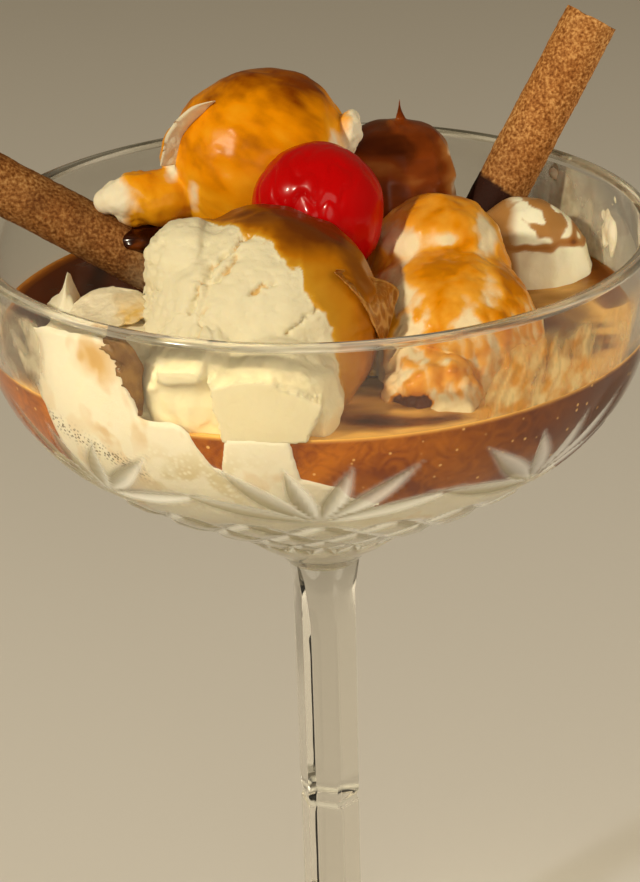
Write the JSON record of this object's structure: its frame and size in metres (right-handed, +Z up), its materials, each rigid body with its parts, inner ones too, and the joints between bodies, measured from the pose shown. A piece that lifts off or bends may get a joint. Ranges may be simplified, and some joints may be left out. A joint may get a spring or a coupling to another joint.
{
  "type": "affogato",
  "caption": "Affogato in a stemmed cut-glass coupe: vanilla ice cream scoops under coffee and caramel, with a red cherry and rolled wafers.",
  "frame": {"origin": "centre of the underside of the glass's foot", "axes": "+Z up; -Y is the side that faces the viewer; +X to the viewer's right"},
  "size_m": [0.1316, 0.108, 0.1784],
  "materials": {
    "glass": "clear cut glass",
    "coffee": "wet, milky coffee",
    "vanilla_ice_cream": "satin, slightly melted",
    "caramel_ice_cream": "glossy caramel over cream",
    "coffee_ice_cream": "glossy dark coffee glaze",
    "cherry": "glossy syrup",
    "wafer": "baked, grainy"
  },
  "bodies": {
    "root": {"coupe_glass": "glass", "coffee": "coffee", "ice_cream_base": "vanilla_ice_cream", "scoop_front": "vanilla_ice_cream", "scoop_left": "vanilla_ice_cream", "scoop_far_right": "vanilla_ice_cream", "scoop_top": "caramel_ice_cream", "scoop_right": "caramel_ice_cream", "scoop_back": "coffee_ice_cream", "cherry": "cherry", "wafer_left": "wafer", "wafer_right": "wafer"}
  },
  "joints": []
}
